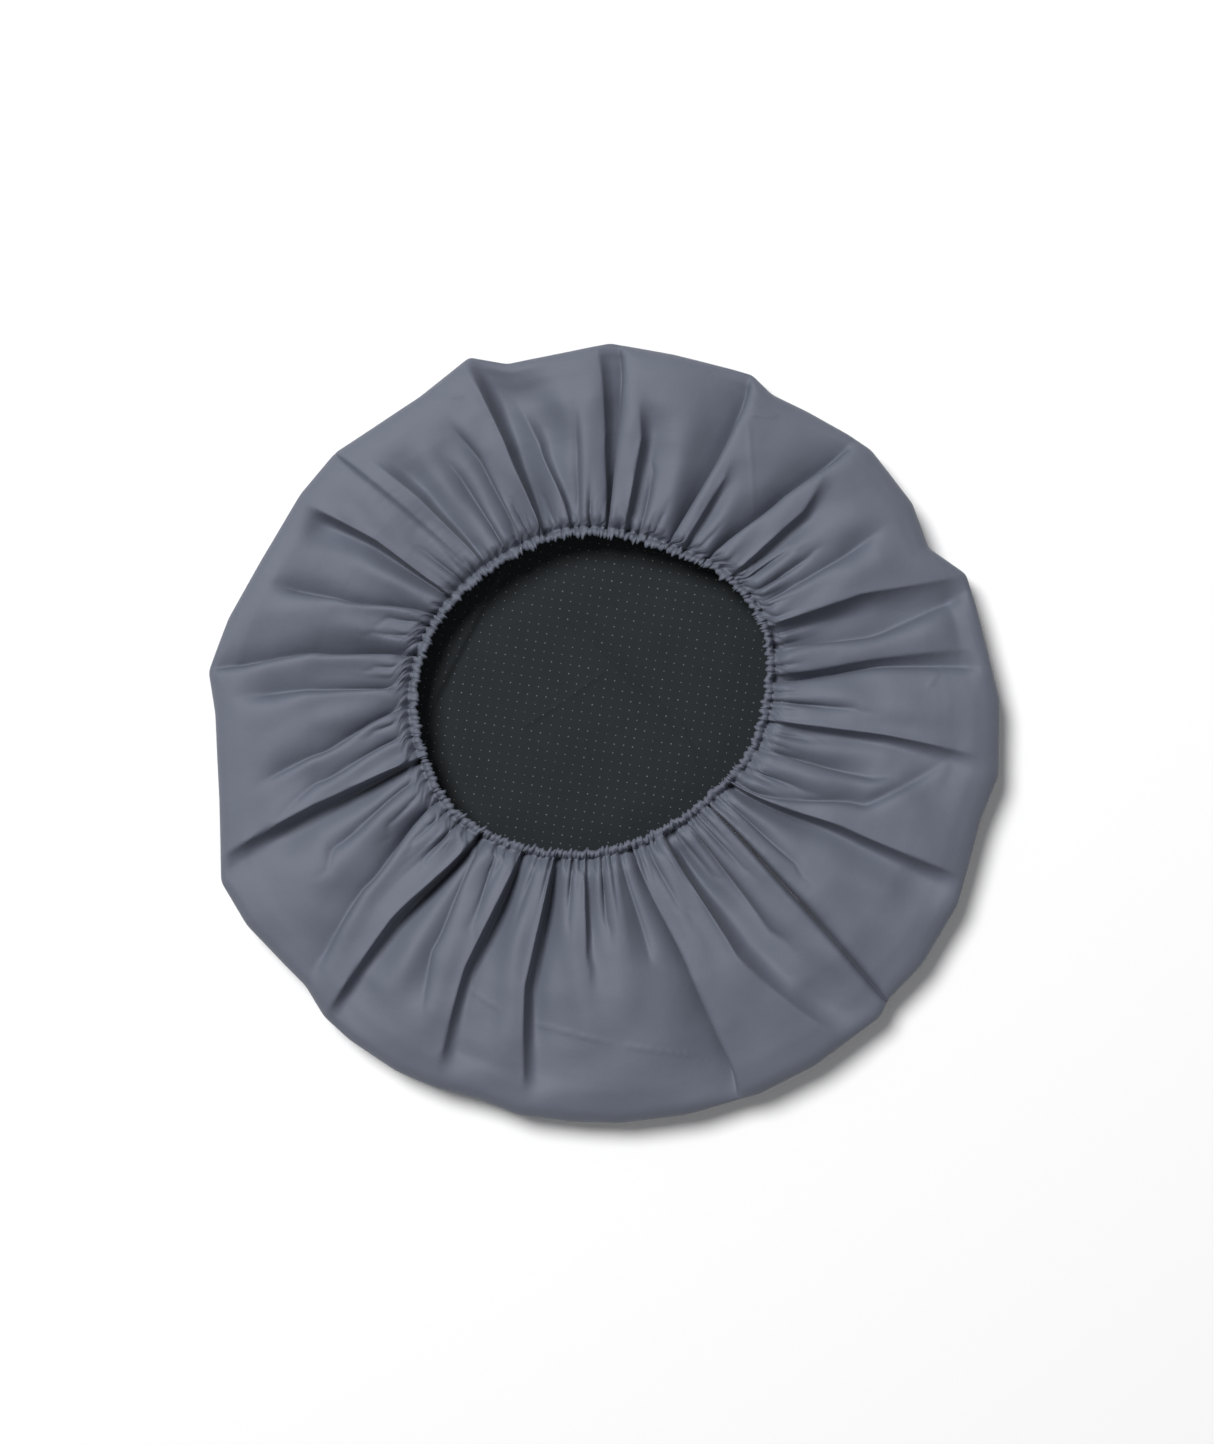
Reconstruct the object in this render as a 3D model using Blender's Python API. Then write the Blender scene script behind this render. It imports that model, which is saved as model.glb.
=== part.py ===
"""Spare tyre cover, lying empty on its front face with the gathered back up.

The cover is sewn from a round front, doubled with a lining, and a band in two halves. The band is joined to the
front all round, turns up and back over it, and ends in a hem that an elastic draws in to an oval mouth.

Frame: +Z up, out of the mouth; origin on the floor, under the centre of the outline. The script works in metres.
Every sewn piece is laid out in sections: a section is the upright plane at one angle round the cover, with its
"inset" measured from the outline towards the hem, and its height above the floor.
"""

import math

import bmesh
import bpy
from mathutils import Vector

# Driving dimensions
OUTLINE_RADIUS = 0.3525  # widest reach of the empty cover
FRONT_RADIUS = 0.3470  # the front, out to its seam
HEM_CENTRE = Vector((-0.012, 0.037, 0.0))  # the drawn-in mouth sits off centre
HEM_HALF_LENGTH = 0.1575
HEM_HALF_WIDTH = 0.1380
HEM_TURN = math.radians(20)  # long axis of the mouth, from +X
HEM_HEIGHT = 0.044  # centre of the elastic above the floor
SEAM_ANGLES = (math.radians(135), math.radians(316))  # where the two band halves meet

FACE_THICKNESS = 0.0010
LINING_THICKNESS = 0.0008
BAND_THICKNESS = 0.0010
BINDING_THICKNESS = 0.0006
GAP = 0.0003  # between pieces that lie on each other

HEM_CASING_RADIUS = 0.0035  # outside of the turned hem
ELASTIC_RADIUS = 0.0016
ELASTIC_JOIN_LENGTH = 0.012
THREAD_RADIUS = 0.00035

# Heights of what is stacked at the front's edge
LINING_BOTTOM = FACE_THICKNESS + GAP
LINING_TOP = LINING_BOTTOM + LINING_THICKNESS
BINDING_LOWER = LINING_TOP + GAP + BINDING_THICKNESS / 2
ALLOWANCE_HEIGHT = BINDING_LOWER + BINDING_THICKNESS / 2 + GAP + BAND_THICKNESS / 2
BINDING_UPPER = ALLOWANCE_HEIGHT + BAND_THICKNESS / 2 + GAP + BINDING_THICKNESS / 2

# The band's line in section, as (inset, height), from the raw edge inside the front seam up to the shoulder
ALLOWANCE_WIDTH = 0.012
SEAM_INSET = OUTLINE_RADIUS - FRONT_RADIUS
SIDE_LINE = (
    (SEAM_INSET + ALLOWANCE_WIDTH, ALLOWANCE_HEIGHT),
    (SEAM_INSET, ALLOWANCE_HEIGHT),
    (0.0022, 0.0090),
    (BAND_THICKNESS / 2, 0.0200),
    (0.0035, 0.0340),
    (0.0120, 0.0460),
    (0.0280, 0.0550),
)
# The line across the back, as (share of the way from the shoulder to the hem, height)
BACK_LINE = ((0.18, 0.0600), (0.38, 0.0615), (0.60, 0.0590), (0.80, 0.0535), (0.93, 0.0490))
HEM_TURN_STEPS = 9
HEM_TURN_ANGLE = math.radians(255)  # how far the hem turns round the elastic

HALF_STEPS = 40  # sections along each half of the band
ROUND_STEPS = 72  # sections of a piece that goes all the way round


def direction(angle):
    return Vector((math.cos(angle), math.sin(angle), 0.0))


def outline_point(angle):
    return OUTLINE_RADIUS * direction(angle)


def hem_point(angle):
    """The mouth's edge, as an ellipse in polar form about its own centre."""
    off_axis = angle - HEM_TURN
    across = HEM_HALF_WIDTH * math.cos(off_axis)
    along = HEM_HALF_LENGTH * math.sin(off_axis)
    radius = HEM_HALF_LENGTH * HEM_HALF_WIDTH / math.hypot(across, along)
    return HEM_CENTRE + radius * direction(angle)


def span(angle):
    """The distance in section from the outline to the mouth's edge."""
    return (hem_point(angle) - outline_point(angle)).length


def in_section(angle, inset, height):
    """The point of a section, in the part's frame."""
    inwards = (hem_point(angle) - outline_point(angle)).normalized()
    return outline_point(angle) + inset * inwards + Vector((0.0, 0.0, height))


def casing_inset(angle):
    return span(angle) - HEM_CASING_RADIUS


def back_line(angle):
    """The band's line from the shoulder to the top of the hem's casing."""
    shoulder = SIDE_LINE[-1][0]
    reach = casing_inset(angle) - shoulder
    return [(shoulder + share * reach, height) for share, height in BACK_LINE]


def hem_turn(angle):
    """The band's edge, turned down and back under itself round the elastic."""
    radius = HEM_CASING_RADIUS - BAND_THICKNESS / 2
    points = []
    for step in range(HEM_TURN_STEPS + 1):
        turned = HEM_TURN_ANGLE * step / HEM_TURN_STEPS
        inset = casing_inset(angle) + radius * math.sin(turned)
        points.append((inset, HEM_HEIGHT + radius * math.cos(turned)))
    return points


def band_line(angle):
    return [*SIDE_LINE, *back_line(angle), *hem_turn(angle)]


def binding_line(angle):
    """The tape folded over the raw edges inside the front seam."""
    outer_edge = SEAM_INSET + ALLOWANCE_WIDTH / 2
    fold = SEAM_INSET + ALLOWANCE_WIDTH + GAP + BINDING_THICKNESS / 2
    return [(outer_edge, BINDING_UPPER), (fold, BINDING_UPPER), (fold, BINDING_LOWER), (outer_edge, BINDING_LOWER)]


def steps_between(start, end, count):
    return [start + (end - start) * step / count for step in range(count + 1)]


def steps_round(count):
    return [2 * math.pi * step / count for step in range(count)]


def material(name, colour, roughness):
    made = bpy.data.materials.new(name)
    made.use_nodes = True
    shader = made.node_tree.nodes["Principled BSDF"]
    shader.inputs["Base Color"].default_value = (*colour, 1.0)
    shader.inputs["Roughness"].default_value = roughness
    shader.inputs["Metallic"].default_value = 0.0
    return made


def mesh_object(name, mesh_maker, finish):
    """An object whose mesh is filled in by mesh_maker, shaded smooth with its edges kept."""
    mesh = bpy.data.meshes.new(name)
    shape = bmesh.new()
    mesh_maker(shape)
    bmesh.ops.recalc_face_normals(shape, faces=shape.faces)
    shape.to_mesh(mesh)
    shape.free()
    mesh.shade_smooth()
    mesh.set_sharp_from_angle(angle=math.radians(40))
    mesh.materials.append(finish)
    made = bpy.data.objects.new(name, mesh)
    bpy.context.scene.collection.objects.link(made)
    return made


def thicken(sheet, thickness, offset=0.0):
    solidify = sheet.modifiers.new("thickness", "SOLIDIFY")
    solidify.thickness = thickness
    solidify.offset = offset
    solidify.use_even_offset = True
    return sheet


def swept_sheet(name, rows, closed, thickness, finish):
    """A sheet through rows of points, one row for each section, given its thickness by Solidify."""

    def fill(shape):
        grid = [[shape.verts.new(point) for point in row] for row in rows]
        pairs = list(zip(grid, grid[1:]))
        if closed:
            pairs.append((grid[-1], grid[0]))
        for row, following in pairs:
            for k in range(len(row) - 1):
                shape.faces.new((row[k], row[k + 1], following[k + 1], following[k]))

    return thicken(mesh_object(name, fill, finish), thickness)


def disc(name, radius, bottom, thickness, finish):
    def fill(shape):
        bmesh.ops.create_circle(shape, cap_ends=True, segments=ROUND_STEPS, radius=radius)
        lifted = bmesh.ops.extrude_face_region(shape, geom=shape.faces[:])
        raised = [item for item in lifted["geom"] if isinstance(item, bmesh.types.BMVert)]
        bmesh.ops.translate(shape, vec=(0.0, 0.0, thickness), verts=raised)
        bmesh.ops.translate(shape, vec=(0.0, 0.0, bottom), verts=shape.verts)

    return mesh_object(name, fill, finish)


def strand(name, points, radius, closed, finish):
    """A round strand, such as a thread or the elastic, along a line of points."""
    curve = bpy.data.curves.new(name, "CURVE")
    curve.dimensions = "3D"
    curve.bevel_depth = radius
    curve.bevel_resolution = 1
    curve.use_fill_caps = not closed
    spline = curve.splines.new("POLY")
    spline.points.add(len(points) - 1)
    for place, point in zip(spline.points, points):
        place.co = (*point, 1.0)
    spline.use_cyclic_u = closed
    spline.use_smooth = True
    curve.materials.append(finish)
    made = bpy.data.objects.new(name, curve)
    bpy.context.scene.collection.objects.link(made)
    return made


def band_half(name, start, end, finish):
    """One half of the band, short of its seams by half a gap at each end."""
    clearance = GAP / (HEM_HALF_LENGTH + HEM_HALF_WIDTH)  # half a gap, as an angle at the mouth
    angles = steps_between(start + clearance, end - clearance, HALF_STEPS)
    rows = [[in_section(angle, *point) for point in band_line(angle)] for angle in angles]
    return swept_sheet(name, rows, False, BAND_THICKNESS, finish)


def perimeter_binding(finish):
    rows = [[in_section(angle, *point) for point in binding_line(angle)] for angle in steps_round(ROUND_STEPS)]
    return swept_sheet("perimeter_binding", rows, True, BINDING_THICKNESS, finish)


def perimeter_stitching(finish):
    """The stitch line that joins the front, its lining and the band, on the allowance just inside the seam."""
    inset = SEAM_INSET + 4 * THREAD_RADIUS
    height = ALLOWANCE_HEIGHT + BAND_THICKNESS / 2 + GAP + THREAD_RADIUS
    line = [in_section(angle, inset, height) for angle in steps_round(ROUND_STEPS)]
    return strand("perimeter_stitching", line, THREAD_RADIUS, True, finish)


def hem_stitching(finish):
    """The stitch line that closes the casing, on top of the band just outside the elastic."""
    lift = BAND_THICKNESS / 2 + GAP + THREAD_RADIUS
    line = []
    for angle in steps_round(ROUND_STEPS):
        (outer, high), (inner, low) = back_line(angle)[-1], hem_turn(angle)[0]
        slope = Vector((inner - outer, low - high)).normalized()
        line.append(in_section(angle, (outer + inner) / 2 - lift * slope.y, (high + low) / 2 + lift * slope.x))
    return strand("hem_stitching", line, THREAD_RADIUS, True, finish)


def side_seam_stitching(name, angle, finish):
    """The stitch line along a side seam, inside the cover, under the edges of both halves."""
    drop = BAND_THICKNESS / 2 + GAP + THREAD_RADIUS
    profile = [Vector(point) for point in (*SIDE_LINE[2:], *back_line(angle))]
    line = []
    for k in range(1, len(profile) - 1):
        along = (profile[k + 1] - profile[k - 1]).normalized()
        point = profile[k] + drop * Vector((along.y, -along.x))
        line.append(in_section(angle, point.x, point.y))
    return strand(name, line, THREAD_RADIUS, False, finish)


def hem_elastic(finish):
    """The elastic, cut to length; its two ends meet inside the join."""
    half_gap = GAP / HEM_HALF_LENGTH
    join = SEAM_ANGLES[0]
    angles = steps_between(join + half_gap, join + 2 * math.pi - half_gap, ROUND_STEPS)
    line = [in_section(angle, casing_inset(angle), HEM_HEIGHT) for angle in angles]
    return strand("hem_elastic", line, ELASTIC_RADIUS, False, finish)


def elastic_join(finish):
    """The whipping that holds the elastic's two ends together, as a short sleeve."""
    thickness = 0.0004
    radius = ELASTIC_RADIUS + GAP + thickness / 2
    half_angle = ELASTIC_JOIN_LENGTH / 2 / HEM_HALF_WIDTH
    rows = []
    for around in steps_round(12):
        row = []
        for angle in steps_between(SEAM_ANGLES[0] - half_angle, SEAM_ANGLES[0] + half_angle, 4):
            inset = casing_inset(angle) + radius * math.cos(around)
            row.append(in_section(angle, inset, HEM_HEIGHT + radius * math.sin(around)))
        rows.append(row)
    return swept_sheet("elastic_join", rows, True, thickness, finish)


def build():
    face_fabric = material("face_fabric", (0.145, 0.156, 0.195), 0.72)
    lining_fabric = material("lining_fabric", (0.030, 0.035, 0.040), 0.85)
    binding_tape = material("binding_tape", (0.125, 0.134, 0.170), 0.80)
    thread = material("thread", (0.190, 0.200, 0.240), 0.60)
    elastic = material("elastic", (0.560, 0.560, 0.540), 0.75)

    disc("front_face", FRONT_RADIUS, 0.0, FACE_THICKNESS, face_fabric)
    disc("front_lining", FRONT_RADIUS - GAP, LINING_BOTTOM, LINING_THICKNESS, lining_fabric)
    left_seam, right_seam = SEAM_ANGLES
    band_half("band_lower_half", left_seam, right_seam, face_fabric)
    band_half("band_upper_half", right_seam, left_seam + 2 * math.pi, face_fabric)
    perimeter_binding(binding_tape)
    perimeter_stitching(thread)
    side_seam_stitching("side_seam_stitching_left", left_seam, thread)
    side_seam_stitching("side_seam_stitching_right", right_seam, thread)
    hem_stitching(thread)
    hem_elastic(elastic)
    elastic_join(thread)


for old in list(bpy.data.objects):
    bpy.data.objects.remove(old)
build()
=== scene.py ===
"""The looks of a spare tire cover, lying empty on its front with its gathered back up.

The band is one ring of cloth that keeps its cut size: as long round at the hem as it is at the front seam,
and drawn in to less than half of that by the elastic. Its large folds are laid out one by one, its small
gathers by a seeded generator, and then the cloth is settled until its threads are near their cut lengths
again.
"""

import math

import bmesh
import bpy
import numpy as np
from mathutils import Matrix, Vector


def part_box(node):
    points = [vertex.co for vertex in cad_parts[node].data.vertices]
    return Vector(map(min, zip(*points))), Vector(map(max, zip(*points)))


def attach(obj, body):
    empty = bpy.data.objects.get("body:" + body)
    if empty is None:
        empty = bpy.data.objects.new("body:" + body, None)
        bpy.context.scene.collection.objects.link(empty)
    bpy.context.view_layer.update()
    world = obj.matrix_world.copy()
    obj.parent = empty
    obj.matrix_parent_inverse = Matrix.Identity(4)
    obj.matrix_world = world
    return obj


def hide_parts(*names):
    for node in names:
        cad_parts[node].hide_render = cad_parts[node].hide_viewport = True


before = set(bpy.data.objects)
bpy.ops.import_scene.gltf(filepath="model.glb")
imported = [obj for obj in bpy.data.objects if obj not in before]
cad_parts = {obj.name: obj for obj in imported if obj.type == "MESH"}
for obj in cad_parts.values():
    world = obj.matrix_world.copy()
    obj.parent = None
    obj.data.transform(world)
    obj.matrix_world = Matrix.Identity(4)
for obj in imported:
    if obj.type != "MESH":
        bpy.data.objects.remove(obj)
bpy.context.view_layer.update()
random = np.random.default_rng(7)

# What the frame gives
FRONT_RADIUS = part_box("front_face")[1].x
FACE_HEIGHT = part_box("front_face")[1].z
LINING_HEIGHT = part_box("front_lining")[1].z
ELASTIC_LOW, ELASTIC_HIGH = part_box("hem_elastic")
ELASTIC_HEIGHT = (ELASTIC_LOW.z + ELASTIC_HIGH.z) / 2
ELASTIC_RADIUS = (ELASTIC_HIGH.z - ELASTIC_LOW.z) / 2
JOIN_LOW, JOIN_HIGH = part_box("elastic_join")

MM = 0.001
TURN = 2 * math.pi

# The outline of the lying cover, as (degrees, mm from the origin), straight between its soft corners
OUTLINE = (
    (5, 355.5), (18, 352), (24, 354.5), (30, 335), (37, 345), (47, 349.5), (51, 346.5), (58, 342),
    (64, 340), (68, 349), (71, 347.5), (80, 347), (89.5, 352), (105, 345), (110, 361), (119, 347),
    (134, 352), (142, 350), (153, 348), (163, 356), (171, 363), (177, 353), (190, 354), (201, 372),
    (208, 367), (215, 357.5), (220, 353.5), (225, 360), (230, 360), (238, 358), (244, 354.5), (251, 349),
    (257, 352.5), (265, 351), (272, 351), (282, 351), (293, 352.5), (302, 353), (310, 352.5), (314, 355),
    (317, 349), (324, 352.5), (334, 352), (340, 347.5), (347, 346), (354, 355.5),
)
OUTLINE_SOFTNESS = 3  # steps of the table of angles
SEAM_SOFTNESS = 8
SEAM_ROOM = 0.003  # from the front seam out to the outline, at least

MOUTH_CENTRE = np.array([-0.0148, 0.0369])

# The mouth's edge, as mm from its centre, every 20 degrees from +X
MOUTH = (
    155.7, 163.4, 157.0, 143.5, 140.4, 140.4, 138.5, 142.0, 149.0, 154.0, 155.7, 158.0,
    150.3, 143.0, 138.0, 136.0, 139.0, 149.5,
)

# The large valleys, as (degrees at the hem, halfway and at the far end, where it ends, depth, width, lean).
# The angles are about the mouth's centre, and the depth and width in mm, before they are scaled. A valley
# ends at a share of the way from the outline, 0, to the hem, 1. A positive lean makes its clockwise side
# the steep one.
VALLEYS = (
    (4.0, 5.8, 4.0, 0.06, 13, 9, 0.4), (14.6, 12.8, 15.4, 0.03, 24, 20, 0.5),
    (28.0, 28.8, 29.5, 0.25, 10, 12, 0.3), (31.6, 32.0, 32.5, 0.60, 7, 6, 0.2),
    (35.8, 35.5, 34.5, 0.66, 6, 6, -0.2), (49.6, 46.8, 43.8, 0.04, 22, 11, 0.5),
    (53.0, 52.5, 52.5, 0.80, 5, 6, 0.0), (63.3, 62.9, 63.4, 0.02, 25, 12, 0.5),
    (68.0, 68.0, 68.0, 0.82, 5, 6, 0.0), (73.2, 74.2, 75.0, 0.62, 8, 7, 0.3),
    (84.7, 85.2, 85.4, 0.02, 21, 9, 0.5), (90.0, 90.0, 90.0, 0.80, 5, 6, 0.0),
    (94.2, 93.6, 93.2, 0.34, 9, 11, 0.3), (101.5, 103.0, 104.0, 0.78, 5, 6, 0.0),
    (111.0, 112.0, 113.0, 0.76, 5, 5, 0.0), (115.6, 116.2, 117.6, 0.28, 11, 12, 0.4),
    (121.0, 121.5, 122.0, 0.40, 8, 9, 0.2), (139.0, 139.5, 140.0, 0.70, 6, 7, 0.0),
    (152.5, 158.0, 160.6, 0.18, 17, 12, -0.45), (157.5, 159.5, 162.0, 0.76, 5, 6, 0.0),
    (162.5, 164.0, 165.0, 0.72, 5, 6, 0.0), (167.3, 170.2, 176.2, 0.02, 25, 12, -0.5),
    (172.5, 173.0, 174.0, 0.80, 5, 5, 0.0), (177.7, 178.6, 180.5, 0.16, 11, 12, -0.4),
    (184.4, 192.0, 194.8, 0.26, 11, 10, -0.4), (188.5, 190.0, 191.0, 0.80, 5, 6, 0.0),
    (192.7, 198.0, 201.0, 0.35, 8, 8, -0.3), (206.4, 211.0, 213.5, 0.45, 9, 8, -0.2),
    (210.5, 213.0, 215.0, 0.74, 5, 6, 0.0), (214.6, 220.0, 225.5, 0.07, 15, 11, -0.4),
    (219.5, 220.0, 221.0, 0.78, 5, 5, 0.0), (224.5, 225.0, 226.0, 0.76, 5, 5, 0.0),
    (234.0, 238.0, 242.0, 0.28, 9, 10, -0.4), (240.0, 243.0, 245.0, 0.62, 6, 7, 0.0),
    (252.5, 252.0, 252.0, 0.74, 6, 7, 0.0), (264.0, 264.5, 265.0, 0.74, 6, 7, 0.0),
    (274.0, 274.0, 274.5, 0.74, 10, 6, 0.0), (280.0, 282.0, 284.5, 0.55, 8, 8, -0.2),
    (284.4, 288.2, 289.8, 0.03, 60, 12, -0.6), (290.5, 292.5, 294.0, 0.72, 6, 7, 0.0),
    (302.0, 303.5, 305.0, 0.76, 5, 6, 0.0), (306.2, 306.8, 308.0, 0.45, 10, 9, -0.3),
    (310.5, 311.0, 311.5, 0.72, 5, 6, 0.0), (316.5, 315.15, 313.85, 0.01, 17, 2.5, 0.0),
    (321.8, 320.5, 319.5, 0.58, 8, 8, 0.3), (328.5, 338.0, 350.0, 0.22, 8, 8, 0.4),
    (334.5, 335.5, 336.0, 0.72, 5, 6, 0.0), (343.0, 343.6, 344.5, 0.45, 11, 12, 0.4),
    (347.5, 348.0, 348.5, 0.78, 5, 6, 0.0), (357.0, 356.5, 356.0, 0.62, 7, 7, 0.0),
)

# The large crests, in the same way. The last number is the side where the cloth drops away from the crest,
# 1 for anticlockwise and -1 for clockwise, and the depth and width are that drop's.
CRESTS = (
    (5.7, 7.2, 6.8, 0.10, 9, 10, -1), (20.8, 20.5, 17.6, 0.02, 15, 19, -1),
    (39.8, 40.4, 42.8, 0.30, 11, 10, -1), (57.8, 58.0, 58.5, 0.50, 9, 9, -1),
    (78.2, 78.6, 80.0, 0.36, 13, 11, -1), (85.8, 87.4, 88.8, 0.02, 9, 6, -1),
    (97.0, 101.5, 104.0, 0.25, 9, 10, -1), (106.8, 108.8, 110.8, 0.02, 27, 12, -1),
    (129.6, 131.2, 133.2, 0.20, 10, 10, -1), (145.0, 144.5, 146.2, 0.12, 18, 7, 1),
    (200.8, 202.0, 203.8, 0.03, 23, 10, 1), (231.4, 228.7, 230.4, 0.06, 28, 7, 1),
    (246.5, 245.5, 247.9, 0.12, 24, 9, 1), (257.6, 257.5, 260.4, 0.14, 23, 9, 1),
    (268.3, 269.2, 269.8, 0.60, 10, 8, 1), (297.2, 299.2, 305.9, 0.04, 22, 16, 1),
    (327.6, 332.2, 333.8, 0.05, 20, 10, -1), (351.4, 351.9, 351.0, 0.12, 12, 10, -1),
)

# The band's line in section, as (share of its width from the seam, reach, height in mm). Reach runs from -1
# at the seam by 0 at the outline to 1 at the hem's stitch line.
PROFILE = (
    (0.000, -1.00, 0.8), (0.012, -0.95, 4.0), (0.024, -0.45, 9.0), (0.065, 0.00, 20.0),
    (0.115, 0.003, 33.0), (0.150, 0.012, 41.5), (0.175, 0.032, 45.5), (0.205, 0.062, 49.0),
    (0.260, 0.13, 53.5), (0.390, 0.29, 58.5), (0.550, 0.48, 60.5), (0.720, 0.68, 59.0),
    (0.860, 0.85, 56.5), (0.945, 0.940, 54.5), (0.972, 0.970, 51.0), (0.990, 0.989, 46.0),
    (1.000, 1.00, 43.0),
)
BAND_WIDTH = 0.248  # as cut, from the front seam to the hem's stitch line
HEM_ALLOWANCE = 0.016  # as cut, past that line and round the elastic
ROUND = TURN * FRONT_RADIUS  # the band's length as cut, both halves together
HEM_SETBACK = 0.0082  # from the mouth's edge out to the stitch line

# Where the two side seams are, in degrees about the mouth's centre: at the hem and at the outline
SEAMS = ((134.0, 136.9), (316.5, 313.8))

# Sharp creases from storage, as (x, y, x, y) of the ends, height and width, all in mm
BACK_CREASES = (
    (-128, -225, -91, -248, 0.9, 1.4), (-73, -257, 12, -277, 1.1, 1.4), (12, -277, 86, -288, 1.2, 1.4),
    (126, 282, 132, 195, 0.8, 1.6), (125, 285, 154, 283, 1.0, 1.4), (-161, 306, -130, 320, 1.2, 1.5),
    (-166, 301, -125, 301, 1.1, 1.4), (286, 41, 298, 57, 1.1, 1.5),
)
LINING_CREASES = (
    (-31, 107, 89, -25, 1.3, 2.2), (-24, 113, 96, -19, -0.9, 2.2), (-78, 5, -37, 31, 0.7, 1.8),
    (-37, 31, 1, 59, 0.6, 1.8), (-22, -3, -13, -34, 0.6, 1.6), (60, 30, 85, -40, 0.6, 2.5),
)
LINING_STEP = (-105, 127, -150, 40, 4.0, 2.0)  # the same, for a step that is high on its left


def smooth_step(value, low, high):
    share = np.clip((value - low) / (high - low), 0, 1)
    return share * share * (3 - 2 * share)


def wrapped(angle):
    """The same angle between minus and plus half a turn."""
    return (angle + math.pi) % TURN - math.pi


def closed_curve(angles, places, values):
    """Values round a closed curve, smooth through the places they are given at."""
    places = np.concatenate([places - TURN, places, places + TURN])
    values = np.concatenate([values] * 3)
    slopes = np.gradient(values, places)
    k = np.clip(np.searchsorted(places, angles) - 1, 0, len(places) - 2)
    width = places[k + 1] - places[k]
    s = (angles - places[k]) / width
    return (
        (2 * s**3 - 3 * s**2 + 1) * values[k] + (s**3 - 2 * s**2 + s) * width * slopes[k]
        + (3 * s**2 - 2 * s**3) * values[k + 1] + (s**3 - s**2) * width * slopes[k + 1]
    )


def mouth_radius(angle):
    places = np.radians(np.arange(len(MOUTH)) * 360 / len(MOUTH))
    return closed_curve(angle % TURN, places, np.array(MOUTH) * MM)


TABLE_ANGLES = np.radians(np.arange(0, 360, 0.25))
SIDE_POINTS = 24  # on each straight side of the outline


def outline_about_mouth():
    """The outline as a distance from the mouth's centre, at each of the table's angles."""
    degrees, radii = np.array(OUTLINE).T
    corners = np.stack([np.cos(np.radians(degrees)), np.sin(np.radians(degrees))], 1) * radii[:, None] * MM
    corners = np.vstack([corners, corners[:1]])
    along = np.linspace(0, 1, SIDE_POINTS)[:-1, None]
    sides = [corner + (following - corner) * along for corner, following in zip(corners[:-1], corners[1:])]
    line = np.vstack(sides) - MOUTH_CENTRE
    angle = np.arctan2(line[:, 1], line[:, 0]) % TURN
    order = np.argsort(angle)
    radius = np.interp(TABLE_ANGLES, angle[order], np.hypot(*line.T)[order], period=TURN)
    return softened(radius, OUTLINE_SOFTNESS)


def softened(values, softness):
    """Values round a ring, each mixed with its neighbours."""
    kernel = np.hanning(2 * softness + 3)
    padded = np.concatenate([values[-softness - 1:], values, values[:softness + 1]])
    return np.convolve(padded, kernel / kernel.sum(), "valid")


def circle_about_mouth():
    """The round front's edge as a distance from the mouth's centre, at each of the table's angles."""
    along = MOUTH_CENTRE[0] * np.cos(TABLE_ANGLES) + MOUTH_CENTRE[1] * np.sin(TABLE_ANGLES)
    return -along + np.sqrt(along**2 - MOUTH_CENTRE @ MOUTH_CENTRE + FRONT_RADIUS**2)


OUTLINE_RADIUS = outline_about_mouth()
SEAM_RADIUS = softened(np.minimum(circle_about_mouth(), OUTLINE_RADIUS - SEAM_ROOM), SEAM_SOFTNESS)


def outline_radius(angle):
    return np.interp(angle % TURN, TABLE_ANGLES, OUTLINE_RADIUS, period=TURN)


def seam_radius(angle):
    """The front seam, pulled in where the outline is."""
    return np.interp(angle % TURN, TABLE_ANGLES, SEAM_RADIUS, period=TURN)


TUCK = 0.7  # how far a valley's floor goes in under its steep side: this share of its depth, times the lean
VALLEY_RISE = 1.3  # how fast the cloth comes up from a valley's floor
STEEP_SIDE = 1.3  # how much a full lean would narrow a valley's steep side
GENTLE_SIDE = 0.9  # how much it would widen the other side
FLOOR_ROUNDING = 0.006  # of a valley's floor, as a share of its width squared
FLOOR_LEVEL = 0.077  # what the rounding adds at the line itself
CREST_LIFT = 0.12  # how far a crest stands up, as a share of its drop
CREST_RECOVERY = 2.2  # how far past a drop the cloth comes up again, in widths of the drop


def fold_line(angle, reach, radius, hem, middle, far, end):
    """How far each point is anticlockwise of a fold's line, in mm, and how much of the fold there is there.

    A fold is whole at the hem, and swells out of the flat cloth over a stretch at its far end."""
    share = np.clip((1 - reach) / (1 - end), 0, 1.3)  # 0 at the hem, 1 at the fold's far end
    half = min(0.5 / (1 - end), 0.9)
    line = np.where(
        share < half,
        hem + (middle - hem) * smooth_step(share, 0, half),
        middle + (far - middle) * np.clip((share - half) / (1 - half), 0, 1.2),
    )
    soft = end * (1 - end)
    swell = smooth_step(reach, end - 0.06 - 0.25 * soft, end + 0.16 + 0.35 * soft)
    return wrapped(angle - np.radians(line)) * radius / MM, swell


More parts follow.
